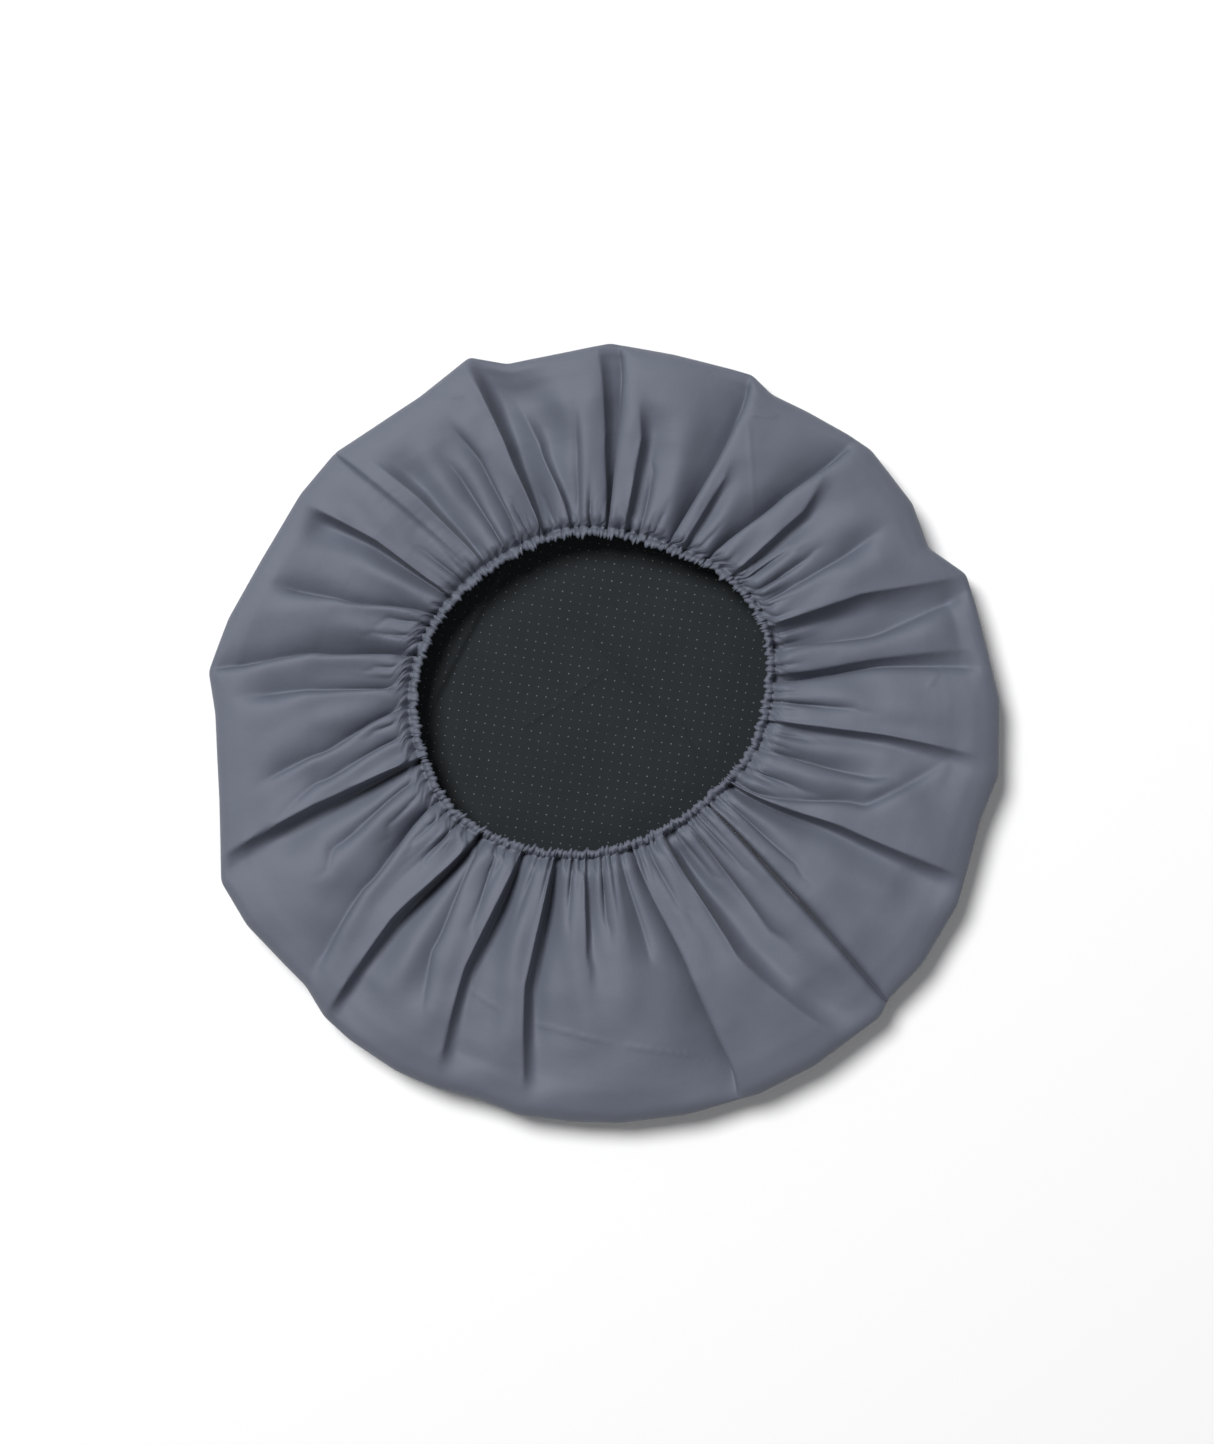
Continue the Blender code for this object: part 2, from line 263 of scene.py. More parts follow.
def large_folds(angle, reach, radius):
    """How far the large folds sink the cloth, and how far they push it anticlockwise, to tuck each valley's
    floor in under its steep side; in metres, before they are scaled."""
    sink = np.zeros_like(angle)
    push = np.zeros_like(angle)
    broad = 0.25 + 1.35 * np.clip(1.0 - reach, 0, 1)
    for *line, deep, wide, lean in VALLEYS:
        away, swell = fold_line(angle, reach, radius, *line)
        steep = np.sign(away) * lean < 0
        spread = wide * broad * np.where(steep, 1 - STEEP_SIDE * abs(lean), 1 + GENTLE_SIDE * abs(lean))
        flank = np.sqrt((away / spread) ** 2 + FLOOR_ROUNDING) - FLOOR_LEVEL
        fold = deep * MM * swell * np.exp(-VALLEY_RISE * flank)
        sink += fold
        push -= TUCK * lean * fold
    for *line, deep, wide, side in CRESTS:
        away, swell = fold_line(angle, reach, radius, *line)
        away = away * side / (wide * broad)
        drop = 1 - (1 - np.clip(away, 0, 1)) ** 2
        recovery = np.exp(-((np.clip(away - 1, 0, None) / CREST_RECOVERY) ** 1.3))
        fold = deep * MM * swell * drop * recovery
        sink += fold - CREST_LIFT * deep * MM * swell * np.exp(-np.abs(away) * 1.5)
    return sink, push


def section(angle, share):
    """The band's smooth surface, before its folds: distance from the mouth's centre, height, and reach."""
    shares, reaches, heights = np.array(PROFILE).T
    reach = np.interp(share, shares, reaches)
    height = np.interp(share, shares, heights) * MM
    inner = np.where(reach < 0, seam_radius(angle), mouth_radius(angle) + HEM_SETBACK)
    radius = outline_radius(angle) + np.abs(reach) * (inner - outline_radius(angle))
    return radius, height, reach


def round_mean(values, half_width):
    """Each row's running mean round the ring, over a number of steps each way."""
    kernel = np.hanning(2 * half_width + 3)[1:-1]
    padded = np.concatenate([values[:, -half_width:], values, values[:, :half_width]], axis=1)
    spectrum = np.fft.rfft(padded, axis=1) * np.fft.rfft(kernel / kernel.sum(), padded.shape[1])
    return np.fft.irfft(spectrum, padded.shape[1], axis=1)[:, 2 * half_width:]


GATHERS = 112  # small ones, round the hem
GATHER_DEPTH = 7.0  # mm, at the hem


def gather_depth(angle, share):
    """How far the small gathers at the hem sink the cloth: narrow pits of uneven depth and reach."""
    widths = random.uniform(0.6, 1.4, GATHERS)
    edges = np.concatenate([[0], np.cumsum(widths)]) / widths.sum()
    turn = np.interp(angle % TURN, edges * TURN, np.arange(GATHERS + 1))
    number = np.round(turn).astype(int) % GATHERS
    reach = (random.gamma(2.0, 5.0, GATHERS) + 6) * MM
    depth = random.uniform(0.6, 1.3, GATHERS)
    fade = np.exp(-(((1 - share) * BAND_WIDTH / reach[number]) ** 1.4))
    pit = 1 - np.abs(np.sin(math.pi * turn)) ** 0.7
    return GATHER_DEPTH * MM * depth[number] * fade * (pit - 0.3)


def waves(count, shortest, longest):
    """A broad uneven surface: a function of x and y, from about -1 to 1."""
    headings = random.uniform(0, TURN, count)
    lengths = random.uniform(shortest, longest, count)
    starts = random.uniform(0, TURN, count)

    def height(x, y):
        total = np.zeros_like(x)
        for heading, length, start in zip(headings, lengths, starts):
            total += np.sin((x * math.cos(heading) + y * math.sin(heading)) * TURN / length + start)
        return total / math.sqrt(count) / 1.4

    return height


DENTS = waves(14, 0.045, 0.14)
LINING_WAVES = waves(12, 0.05, 0.16)


def ripples(angle, reach):
    """Soft waves that run out from the mouth and wander, from about -1 to 1."""
    total = np.zeros_like(angle)
    for _ in range(22):
        turns = random.integers(18, 60)
        slant = random.normal(0, 7)
        total += np.sin(turns * angle + slant * reach + random.uniform(0, TURN)) * np.sin(
            random.integers(1, 5) * angle + random.uniform(2, 7) * reach + random.uniform(0, TURN))
    return total / 4


def along_and_aside(x, y, x0, y0, x1, y1):
    """Where points are by a straight line: the share of the way along it, and the distance to its right."""
    run, rise = x1 - x0, y1 - y0
    length = math.hypot(run, rise)
    along = ((x - x0) * run + (y - y0) * rise) / length**2
    aside = ((x - x0) * rise - (y - y0) * run) / length
    return along, aside


def creases(x, y, lines):
    """The height of sharp straight creases, tapering to their ends, in metres."""
    height = np.zeros_like(x)
    for *ends, high, wide in np.array(lines, float) * MM:
        along, aside = along_and_aside(x, y, *ends)
        taper = smooth_step(along, -0.02, 0.2) * smooth_step(1 - along, -0.02, 0.2)
        height += high * taper * np.exp(-np.abs(aside / wide) ** 1.3)
    return height


LAYOUT_STEPS = 3600  # round the ring
DEEPEST = (15, 32, 17)  # mm that a fold sinks: at the outline, in the back's inner part, and at the hem
USUAL_DEPTH = 23 * MM  # a fold that is listed as this deep may be scaled to the deepest
SINK_LIMIT = 1.6  # times the deepest
LARGE_FOLD_SHARE = 0.75  # of the fullness at the hem; the small gathers take the rest
FULLNESS_SPREAD = 90  # steps each way over which the cloth's fullness is shared out
SCALE_SPREAD = 110  # steps each way over which the folds' scale is evened out

DENT_DEPTH = 1.0 * MM
RIPPLE_DEPTH = 1.6 * MM
RIM_FOLD = 0.8 * MM  # the height of a pressed fold that follows the outline
RIM_FOLD_MIDDLE = math.radians(245)
RIM_FOLD_REACH, RIM_FOLD_WIDTH = 0.045, 0.010  # in reach

GROOVE_DEPTH = (3.5, 2.0)  # mm, of the side seams, at the outline and at the hem
GROOVE_WIDTH = 1.4 * MM
PUCKER_DEPTH = 0.45 * MM
PUCKER_WIDTH = 7 * MM
PUCKER_PITCH = 11 * MM


def between(low, high, share):
    return low + (high - low) * share


def round_length(angle, radius, height):
    """The length of each step round the ring, on a surface given by angle, distance from the mouth's centre
    and height."""
    ahead = [np.roll(values, -1, axis=1) for values in (angle, radius, height)]
    turned = wrapped(ahead[0] - angle) * radius
    return np.sqrt(turned**2 + (ahead[1] - radius) ** 2 + (ahead[2] - height) ** 2)


def laid_out(rows, columns):
    """The band with its folds, before it settles, and the same band smooth: rows from the front seam to the
    hem, columns round it. The large folds are scaled until each part of each ring is near its cut length."""
    shares = np.linspace(0, 1, rows)[:, None]
    step = TURN / LAYOUT_STEPS
    reach = np.clip(np.interp(shares, *np.array(PROFILE).T[:2]), 0, 1)
    first, second = [np.radians(hem * reach + out * (1 - reach)) for hem, out in SEAMS]
    angle = first + np.arange(LAYOUT_STEPS)[None] * step
    radius, height, reach = section(angle, shares + 0 * angle)

    cut = ROUND / LAYOUT_STEPS
    need = np.clip(cut / (radius * step) - 1, 0.08 * smooth_step(reach, 0, 0.06), None)
    need = need * (1 - (1 - LARGE_FOLD_SHARE) * smooth_step(reach, 0.75, 1.0))
    sink, push = large_folds(angle, reach, radius)
    scale = np.ones_like(sink)
    deepest = (between(DEEPEST[0], DEEPEST[1], smooth_step(reach, 0.0, 0.25))
               + (DEEPEST[2] - DEEPEST[1]) * smooth_step(reach, 0.86, 1.0)) * MM
    limit = SINK_LIMIT * deepest
    for _ in range(10):
        folded = limit * np.tanh(scale * sink / limit)
        now = round_length(angle + scale * push / radius, radius, height - folded) / (radius * step) - 1
        ratio = (round_mean(need, FULLNESS_SPREAD) + 0.02) / (round_mean(now, FULLNESS_SPREAD) + 0.02)
        scale = np.clip(scale * np.clip(ratio, 0.5, 2) ** 0.5, 0.5, deepest / USUAL_DEPTH)
        scale = round_mean(scale, SCALE_SPREAD)
    sink = limit * np.tanh(scale * sink / limit) + gather_depth(angle, shares)
    x = MOUTH_CENTRE[0] + radius * np.cos(angle)
    y = MOUTH_CENTRE[1] + radius * np.sin(angle)
    sink += DENT_DEPTH * DENTS(x, y) * smooth_step(reach, -0.8, 0.1) * smooth_step(1.05 - reach, 0.0, 0.5)
    sink += RIPPLE_DEPTH * ripples(angle, reach) * smooth_step(reach, 0.05, 0.35)
    present = smooth_step(np.cos(angle - RIM_FOLD_MIDDLE), 0.2, 0.7)
    sink -= RIM_FOLD * present * np.exp(-np.abs((reach - RIM_FOLD_REACH) / RIM_FOLD_WIDTH) ** 1.5)
    for seam in (first, second):
        away = wrapped(angle - seam) * radius
        pucker = np.sin(shares * BAND_WIDTH * TURN / PUCKER_PITCH + 3 * np.sin(shares * 23))
        groove = between(*GROOVE_DEPTH, np.clip(reach, 0, 1)) * smooth_step(reach, -0.95, -0.5)
        sink += groove * MM * np.exp(-np.abs(away / GROOVE_WIDTH) ** 1.5)
        sink += PUCKER_DEPTH * pucker * np.exp(-np.abs(away / PUCKER_WIDTH)) * smooth_step(reach, 0.0, 0.2)
    folded = (angle + scale * push / radius, radius, height - sink)
    along = np.concatenate([0 * first, np.cumsum(round_length(*folded), axis=1)], axis=1)
    middle = (second - first) / step
    return [even_columns(*surface, along, middle, columns) for surface in (folded, (angle, radius, height))]


def even_columns(angle, radius, height, along, middle, columns):
    """Columns of points, evenly spaced by the cloth between them, with half of them each side of the second
    seam, on a surface given by angle, distance from the mouth's centre and height."""
    x = MOUTH_CENTRE[0] + radius * np.cos(angle)
    y = MOUTH_CENTRE[1] + radius * np.sin(angle)
    points = np.stack([x, y, height], 2)
    points = np.concatenate([points, points[:, :1]], axis=1)
    cloth = np.empty((len(points), columns + 1, 3), np.float32)
    places = np.arange(points.shape[1])
    for row, line in enumerate(points):
        halfway = np.interp(middle[row], places, along[row])
        even = np.interp(np.arange(columns + 1), (0, columns / 2, columns), (0, halfway[0], along[row, -1]))
        cloth[row] = np.stack([np.interp(even, along[row], line[:, k]) for k in range(3)], 1)
    return cloth


def hold(first, second, rest, pull, push):
    """Moves pairs of points towards their cut length: pull is how firmly if too long, push if too short."""
    gap = second - first
    length = np.sqrt(np.einsum("...k,...k->...", gap, gap))[..., None] + 1e-9
    miss = (length - rest) / length
    gap *= np.where(miss > 0, pull, push) * miss * 0.5
    first += gap
    second -= gap


def settle(cloth, smooth, rounds, push, bend):
    """Moves the cloth until its threads are near their cut lengths, with its front seam and hem held. Threads
    round the ring are the firmest, then those down the band, and last the slant between them."""
    columns = cloth.shape[1] - 1
    across = ROUND / columns
    down = np.linalg.norm(np.diff(smooth, axis=0), axis=2)[..., None].astype(np.float32)
    slant = np.sqrt(across**2 + ((down[:, :-1] + down[:, 1:]) / 2) ** 2)
    seam, hem = cloth[0].copy(), cloth[-1].copy()
    for _ in range(rounds):
        for k in (0, 1):
            hold(cloth[:, k:-1:2], cloth[:, k + 1::2], across, 1.0, push)
        for k in (0, 1):
            hold(cloth[k:-1:2], cloth[k + 1::2], down[k::2], 0.8, 0.3)
            hold(cloth[k:-1:2, :-1], cloth[k + 1::2, 1:], slant[k::2], 0.2, 0.05)
            hold(cloth[k:-1:2, 1:], cloth[k + 1::2, :-1], slant[k::2], 0.2, 0.05)
        cloth[:, 1:-1] += bend * ((cloth[:, :-2] + cloth[:, 2:]) / 2 - cloth[:, 1:-1])
        cloth[1:-1] += 2 * bend * ((cloth[:-2] + cloth[2:]) / 2 - cloth[1:-1])
        join = (cloth[:, 0] + cloth[:, -1]) / 2
        cloth[:, 0] = join
        cloth[:, -1] = join
        cloth[0] = seam
        cloth[-1] = hem
    return cloth


CASING_TURN = np.radians([150, 128, 106, 84, 62, 40, 18, -4, -28, -54, -80, -108, -136])
CASING_JOIN = (0.55, 0.2)  # how much its first rows keep to the hem
CASING_RADIUS = 3.1 * MM
CASING_WANDER = 0.6 * MM
RIBS = 268
RIB_WIDTHS = (0.35, 1.8)  # times the usual width
RIB_SIZES = (0.4, 1.7)  # times the usual height
RIB_HEIGHT = 2.6 * MM
RIB_SHIFT = 1.6  # mm, to either side
RIB_TWIST = 0.003  # radians round the mouth, for each radian round the casing


def casing_centre(angle):
    """How far the middle of the casing is from the mouth's centre: it wanders a little."""
    wander = np.sin(41 * angle + 1) + np.sin(67 * angle + 2 * np.sin(5 * angle)) + np.sin(139 * angle)
    return mouth_radius(angle) + CASING_RADIUS + CASING_WANDER * wander


def hem_casing(hem):
    """The casing that the elastic runs in, from the hem's stitch line over the top, round the lip and back
    below. Its ribs leave room for the elastic."""
    gap = hem[:, :2] - MOUTH_CENTRE
    angle = np.arctan2(gap[:, 1], gap[:, 0])
    heading = np.stack([np.cos(angle), np.sin(angle)], 1)
    widths = random.uniform(*RIB_WIDTHS, RIBS)
    edges = np.concatenate([[0], np.cumsum(widths)]) / widths.sum()
    size = random.uniform(*RIB_SIZES, RIBS)
    shift = random.uniform(-RIB_SHIFT, RIB_SHIFT, RIBS) * MM
    rows = []
    for order, turn in enumerate(CASING_TURN):
        rib = np.interp((angle + RIB_TWIST * turn) % TURN, edges * TURN, np.arange(RIBS + 1))
        number = np.minimum(rib.astype(int), RIBS - 1)
        arch = np.abs(np.sin(math.pi * rib))
        bulge = size[number] * (arch**0.6 - 0.7)
        radius = np.maximum(CASING_RADIUS + RIB_HEIGHT * bulge, ELASTIC_RADIUS + 0.4 * MM)
        room = radius - ELASTIC_RADIUS - 0.3 * MM
        centre = casing_centre(angle) + np.clip(shift[number] * arch, -room, room)
        out = centre - radius * np.cos(turn)
        height = ELASTIC_HEIGHT + radius * np.sin(turn)
        row = np.concatenate([MOUTH_CENTRE + heading * out[:, None], height[:, None]], 1)
        joined = CASING_JOIN[order] if order < len(CASING_JOIN) else 0
        rows.append(joined * hem + (1 - joined) * row)
    rows = np.array(rows, np.float32)
    rows[:, -1] = rows[:, 0]
    return rows


BAND_ROWS = 110
BAND_COLUMNS = 1600


def make_band():
    """The whole band as a grid of points: front seam, outline, gathered back, and last the casing's rows."""
    cloth, smooth = laid_out(BAND_ROWS, BAND_COLUMNS)
    cloth = settle(cloth, smooth, rounds=16, push=0.10, bend=0.02)
    top = smooth_step(cloth[..., 2], 0.034, 0.044)
    cloth[..., 2] += creases(cloth[..., 0], cloth[..., 1], BACK_CREASES) * top
    return np.concatenate([cloth, hem_casing(cloth[-1])])


LINING_LIFT = 2.4 * MM
LINING_UNEVEN = 0.7 * MM
LINING_SLACK = (14 * MM, 45 * MM)  # from the seam, where the slack begins and where it is whole


def lining_height(x, y, room):
    """The lining's height, flat under the binding tape and slack further in. Room is the distance from the
    seam."""
    *ends, drop, wide = np.array(LINING_STEP) * MM
    along, aside = along_and_aside(x, y, *ends)
    step = drop * smooth_step(aside, -wide, wide)
    step *= smooth_step(along, -0.4, 0.1) * smooth_step(-along, -1.5, -1.0)
    loose = LINING_LIFT + LINING_UNEVEN * LINING_WAVES(x, y) + step + creases(x, y, LINING_CREASES)
    return LINING_HEIGHT + smooth_step(room, *LINING_SLACK) * np.maximum(loose, 0)


def round_grid(steps, inset):
    """A square grid of points drawn to the shape of the front, dense within the mouth: x, y, and the
    distance from the edge."""
    line = np.linspace(-1, 1, steps)
    line = 0.45 * line + 0.55 * line**5
    u, v = np.meshgrid(line, line)
    across = u * np.sqrt(1 - v**2 / 2)
    ahead = v * np.sqrt(1 - u**2 / 2)
    angle = np.arctan2(ahead, across)
    edge = seam_radius(angle) - inset
    share = np.hypot(across, ahead)
    x = MOUTH_CENTRE[0] + share * edge * np.cos(angle)
    y = MOUTH_CENTRE[1] + share * edge * np.sin(angle)
    return x, y, (1 - share) * edge


def grid_piece(name, grid, material, size):
    """A mesh of four-sided faces through a grid of points. Its UV is the place in the flat cloth of this
    size, in metres."""
    rows, columns = grid.shape[:2]
    corner = (np.arange(rows - 1)[:, None] * columns + np.arange(columns - 1)).ravel()
    faces = np.stack([corner, corner + 1, corner + columns + 1, corner + columns], 1)
    mesh = bpy.data.meshes.new(name)
    mesh.vertices.add(rows * columns)
    mesh.vertices.foreach_set("co", grid.astype(np.float32).ravel())
    mesh.loops.add(faces.size)
    mesh.loops.foreach_set("vertex_index", faces.ravel().astype(np.int32))
    mesh.polygons.add(len(faces))
    mesh.polygons.foreach_set("loop_start", np.arange(0, faces.size, 4, dtype=np.int32))
    place = np.stack(np.meshgrid(np.linspace(0, size[0], columns), np.linspace(0, size[1], rows)), 2)
    mesh.uv_layers.new(name="cloth").data.foreach_set("uv", place.reshape(-1, 2)[faces.ravel()].ravel())
    mesh.update(calc_edges=True)
    mesh.shade_smooth()
    return add_piece(name, mesh, material)


def add_piece(name, mesh, material):
    mesh.materials.append(material)
    piece = bpy.data.objects.new(name, mesh)
    bpy.context.scene.collection.objects.link(piece)
    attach(piece, "root")
    return piece


def ring_tubes(name, centres, sides, radii, material):
    """Tubes, one for each row of centres, whose rings have the given radii; their ends are closed."""
    count, rings = centres.shape[:2]
    along = centres[:, -1] - centres[:, 0]
    along /= np.linalg.norm(along, axis=1, keepdims=True)
    away = np.where(np.abs(along[:, 2:]) < 0.8, np.array([[0, 0, 1.0]]), np.array([[1.0, 0, 0]]))
    first = np.cross(along, away)
    first /= np.linalg.norm(first, axis=1, keepdims=True)
    second = np.cross(first, along)
    turn = np.arange(sides) * TURN / sides
    spoke = first[:, None] * np.cos(turn)[None, :, None] + second[:, None] * np.sin(turn)[None, :, None]
    points = centres[:, :, None] + spoke[:, None] * np.array(radii)[None, :, None, None]
    faces = []
    for k in range(count):
        start = k * rings * sides
        for ring in range(rings - 1):
            low = start + ring * sides
            faces += [(low + n, low + (n + 1) % sides, low + sides + (n + 1) % sides, low + sides + n)
                      for n in range(sides)]
        faces.append(tuple(range(start + sides - 1, start - 1, -1)))
        faces.append(tuple(range(start + (rings - 1) * sides, start + rings * sides)))
    mesh = bpy.data.meshes.new(name)
    mesh.from_pydata(points.reshape(-1, 3).tolist(), [], faces)
    mesh.shade_smooth()
    return add_piece(name, mesh, material)


STITCH_PITCH = 3 * MM
THREAD_RADIUS = 0.35 * MM
THREAD_END = 0.25 * MM
SIDE_STITCH_DEPTH = 0.8 * MM  # under the cloth at the side seams


def stitches(name, line, material):
    """Lockstitches along a line. Each shows for four fifths of the pitch, and dips in at its ends."""
    along = np.concatenate([[0], np.cumsum(np.linalg.norm(np.diff(line, axis=0), axis=1))])
    count = round(along[-1] / STITCH_PITCH)
    places = (np.arange(count)[:, None] + 0.5 + np.array([-0.4, -0.27, 0.27, 0.4])) * along[-1] / count
    centres = np.stack([np.interp(places, along, line[:, k]) for k in range(3)], 2)
    centres[:, (0, 3), 2] -= THREAD_RADIUS
    return ring_tubes(name, centres, 6, (THREAD_END, THREAD_RADIUS, THREAD_RADIUS, THREAD_END), material)


def ring_line(angle, out, height):
    """A line of points round the mouth's centre, at these angles, distances and heights."""
    x = MOUTH_CENTRE[0] + out * np.cos(angle)
    y = MOUTH_CENTRE[1] + out * np.sin(angle)
    return np.stack([x, y, height + 0 * angle], 1)


def hem_line(steps):
    """The line down the middle of the casing, where the elastic runs."""
    angle = np.linspace(0, TURN, steps)
    return ring_line(angle, casing_centre(angle), ELASTIC_HEIGHT)


UPWARD = np.array([0, 0, 1.0])
ELASTIC_LENGTH = 0.95
WHIPPING_REACH = 12  # points of the elastic's line, each way


def closed_tube(name, line, radius, sides, material):
    """A ring of tube round a level closed line, slightly ribbed like braided cord."""
    ahead = np.roll(line[:-1], -1, axis=0) - np.roll(line[:-1], 1, axis=0)
    ahead /= np.linalg.norm(ahead, axis=1, keepdims=True)
    aside = np.stack([ahead[:, 1], -ahead[:, 0], 0 * ahead[:, 0]], 1)
    turn = np.linspace(0, TURN, sides + 1)
    braid = 1 + 0.05 * np.sin(np.arange(len(aside))[:, None] * TURN / 6 + 3 * turn)
    spoke = aside[:, None] * np.cos(turn)[None, :, None] + UPWARD * np.sin(turn)[None, :, None]
    rings = line[:-1, None] + spoke * radius * braid[..., None]
    rings = np.concatenate([rings, rings[:1]])
    return grid_piece(name, rings.transpose(1, 0, 2), material, (ELASTIC_LENGTH, TURN * radius))


def whipping(name, line, material):
    """Thread wound round the elastic where its two ends are sewn together."""
    middle = np.array([(low + high) / 2 for low, high in zip(JOIN_LOW, JOIN_HIGH)])
    nearest = int(np.argmin(np.linalg.norm(line[:, :2] - middle[:2], axis=1)))
    nearest = min(max(nearest, WHIPPING_REACH), len(line) - WHIPPING_REACH - 1)
    stretch = line[nearest - WHIPPING_REACH:nearest + WHIPPING_REACH + 1]
    turns, sides, radius, thread = 11, 6, ELASTIC_RADIUS + 0.25 * MM, 0.3 * MM
    wind = np.linspace(0, 1, turns * 14)
    centre = np.stack([np.interp(wind * (len(stretch) - 1), np.arange(len(stretch)), stretch[:, k])
                       for k in range(3)], 1)
    ahead = stretch[-1] - stretch[0]
    ahead /= np.linalg.norm(ahead)
    aside = np.array([ahead[1], -ahead[0], 0])
    spoke = aside * np.cos(wind * turns * TURN)[:, None] + UPWARD * np.sin(wind * turns * TURN)[:, None]
    coil = centre + spoke * radius
    turn = np.linspace(0, TURN, sides + 1)
    around = spoke[:, None] * np.cos(turn)[None, :, None] + ahead * np.sin(turn)[None, :, None]
    rings = coil[:, None] + thread * around
    return grid_piece(name, rings.transpose(1, 0, 2), material, (0.15, 0.002))


# The binding tape in section: mm inward of the front seam, and height
TAPE = (
    (0.9, 4.6), (4.0, 4.9), (9.0, 4.8), (12.2, 4.6), (13.3, 4.1),
    (13.5, 3.5), (12.8, 3.0), (9.0, 2.8), (4.0, 2.7), (0.9, 2.6),
)
TAPE_WIDTH = 0.028  # as cut; it is folded in two


def binding_piece(material):
    angle = np.linspace(0, TURN, 721)
    rows = []
    for inward, height in TAPE:
        wave = 0.15 * MM * np.sin(angle * 90) * inward / 13
        rows.append(ring_line(angle, seam_radius(angle) - inward * MM, height * MM + wave))
    return grid_piece("binding_tape", np.array(rows), material, (ROUND, TAPE_WIDTH))


def seam_line(inward, height):
    """A level line that follows the front seam."""
    angle = np.linspace(0, TURN, 1441)
    return ring_line(angle, seam_radius(angle) - inward, height)


DOT_PITCH = (8.5 * MM, 8.1 * MM)
DOT_TILT = math.radians(-9)
DOT_STRAY = 0.15 * MM
DOT_RADII = (0.5, 0.8)  # mm
DOT_SIDES = 8
DOTS_EACH_WAY = 44  # from the middle, before the lattice is cut to the lining
DOT_MARGIN = 17 * MM  # from the front seam


def lining_dots(material):
    """The lining's lattice of small raised dots."""
    count = np.arange(-DOTS_EACH_WAY, DOTS_EACH_WAY + 1)
    i, j = [grid.ravel() for grid in np.meshgrid(count, count)]
    a, b = i * DOT_PITCH[0], j * DOT_PITCH[1]
    x = a * math.cos(DOT_TILT) - b * math.sin(DOT_TILT) + random.normal(0, DOT_STRAY, len(a))
    y = a * math.sin(DOT_TILT) + b * math.cos(DOT_TILT) + random.normal(0, DOT_STRAY, len(a))
    gap = np.stack([x, y], 1) - MOUTH_CENTRE
    room = seam_radius(np.arctan2(gap[:, 1], gap[:, 0])) - np.hypot(*gap.T)
    inside = room > DOT_MARGIN
    x, y, room = x[inside], y[inside], room[inside]
    size = random.uniform(*DOT_RADII, len(x)) * MM
    turn = np.arange(DOT_SIDES) * TURN / DOT_SIDES
    points = []
    for share, lift in ((1.0, 0.02), (0.75, 0.28)):
        px = x[:, None] + share * size[:, None] * np.cos(turn)
        py = y[:, None] + share * size[:, None] * np.sin(turn)
        pz = lining_height(px, py, room[:, None]) + lift * MM
        points.append(np.stack([px, py, pz], 2))
    top = np.stack([x, y, lining_height(x, y, room) + 0.36 * MM], 1)[:, None]
    points = np.concatenate([points[0], points[1], top], 1)
    edges = [(n, (n + 1) % DOT_SIDES) for n in range(DOT_SIDES)]
    side = [(n, following, DOT_SIDES + following, DOT_SIDES + n) for n, following in edges]
    cap = [(DOT_SIDES + n, DOT_SIDES + following, 2 * DOT_SIDES) for n, following in edges]
    faces = [tuple((2 * DOT_SIDES + 1) * k + n for n in face) for k in range(len(x)) for face in side + cap]
    mesh = bpy.data.meshes.new("lining_dots")
    mesh.from_pydata(points.reshape(-1, 3).tolist(), [], faces)
    mesh.shade_smooth()
    return add_piece("lining_dots", mesh, material)


def principled(name, roughness):
    material = bpy.data.materials.new(name)
    material.use_nodes = True
    shader = material.node_tree.nodes["Principled BSDF"]
    shader.inputs["Roughness"].default_value = roughness
    return material, material.node_tree, shader


def noise(tree, scale, detail):
    place = tree.nodes.new("ShaderNodeTexCoord").outputs["Object"]
    texture = tree.nodes.new("ShaderNodeTexNoise")
    texture.inputs["Scale"].default_value = scale
    texture.inputs["Detail"].default_value = detail
    tree.links.new(place, texture.inputs["Vector"])
    return texture.outputs["Fac"]


def threads(tree, direction, period):
    """Parallel threads along the cloth's own U or V, the period in metres."""
    place = tree.nodes.new("ShaderNodeTexCoord").outputs["UV"]
    wave = tree.nodes.new("ShaderNodeTexWave")
    wave.bands_direction = direction
    wave.inputs["Scale"].default_value = 0.314 / period
    wave.inputs["Distortion"].default_value = 0.4
    tree.links.new(place, wave.inputs["Vector"])
    return wave.outputs["Fac"]


def mixed_colour(tree, shader, factor, first, second):
    mix = tree.nodes.new("ShaderNodeMix")
    mix.data_type = "RGBA"
    mix.inputs["A"].default_value = (*first, 1)
    mix.inputs["B"].default_value = (*second, 1)
    tree.links.new(factor, mix.inputs["Factor"])
    tree.links.new(mix.outputs["Result"], shader.inputs["Base Color"])


def bumped(tree, shader, layers):
    """Bump layers one on another, each as (height, strength, distance in metres)."""
    normal = None
    for height, strength, distance in layers:
        bump = tree.nodes.new("ShaderNodeBump")
        bump.inputs["Strength"].default_value = strength
        bump.inputs["Distance"].default_value = distance
        tree.links.new(height, bump.inputs["Height"])
        if normal:
            tree.links.new(normal, bump.inputs["Normal"])
        normal = bump.outputs["Normal"]
    tree.links.new(normal, shader.inputs["Normal"])


def summed(tree, first, second):
    add = tree.nodes.new("ShaderNodeMath")
    tree.links.new(first, add.inputs[0])
    tree.links.new(second, add.inputs[1])
    return add.outputs["Value"]


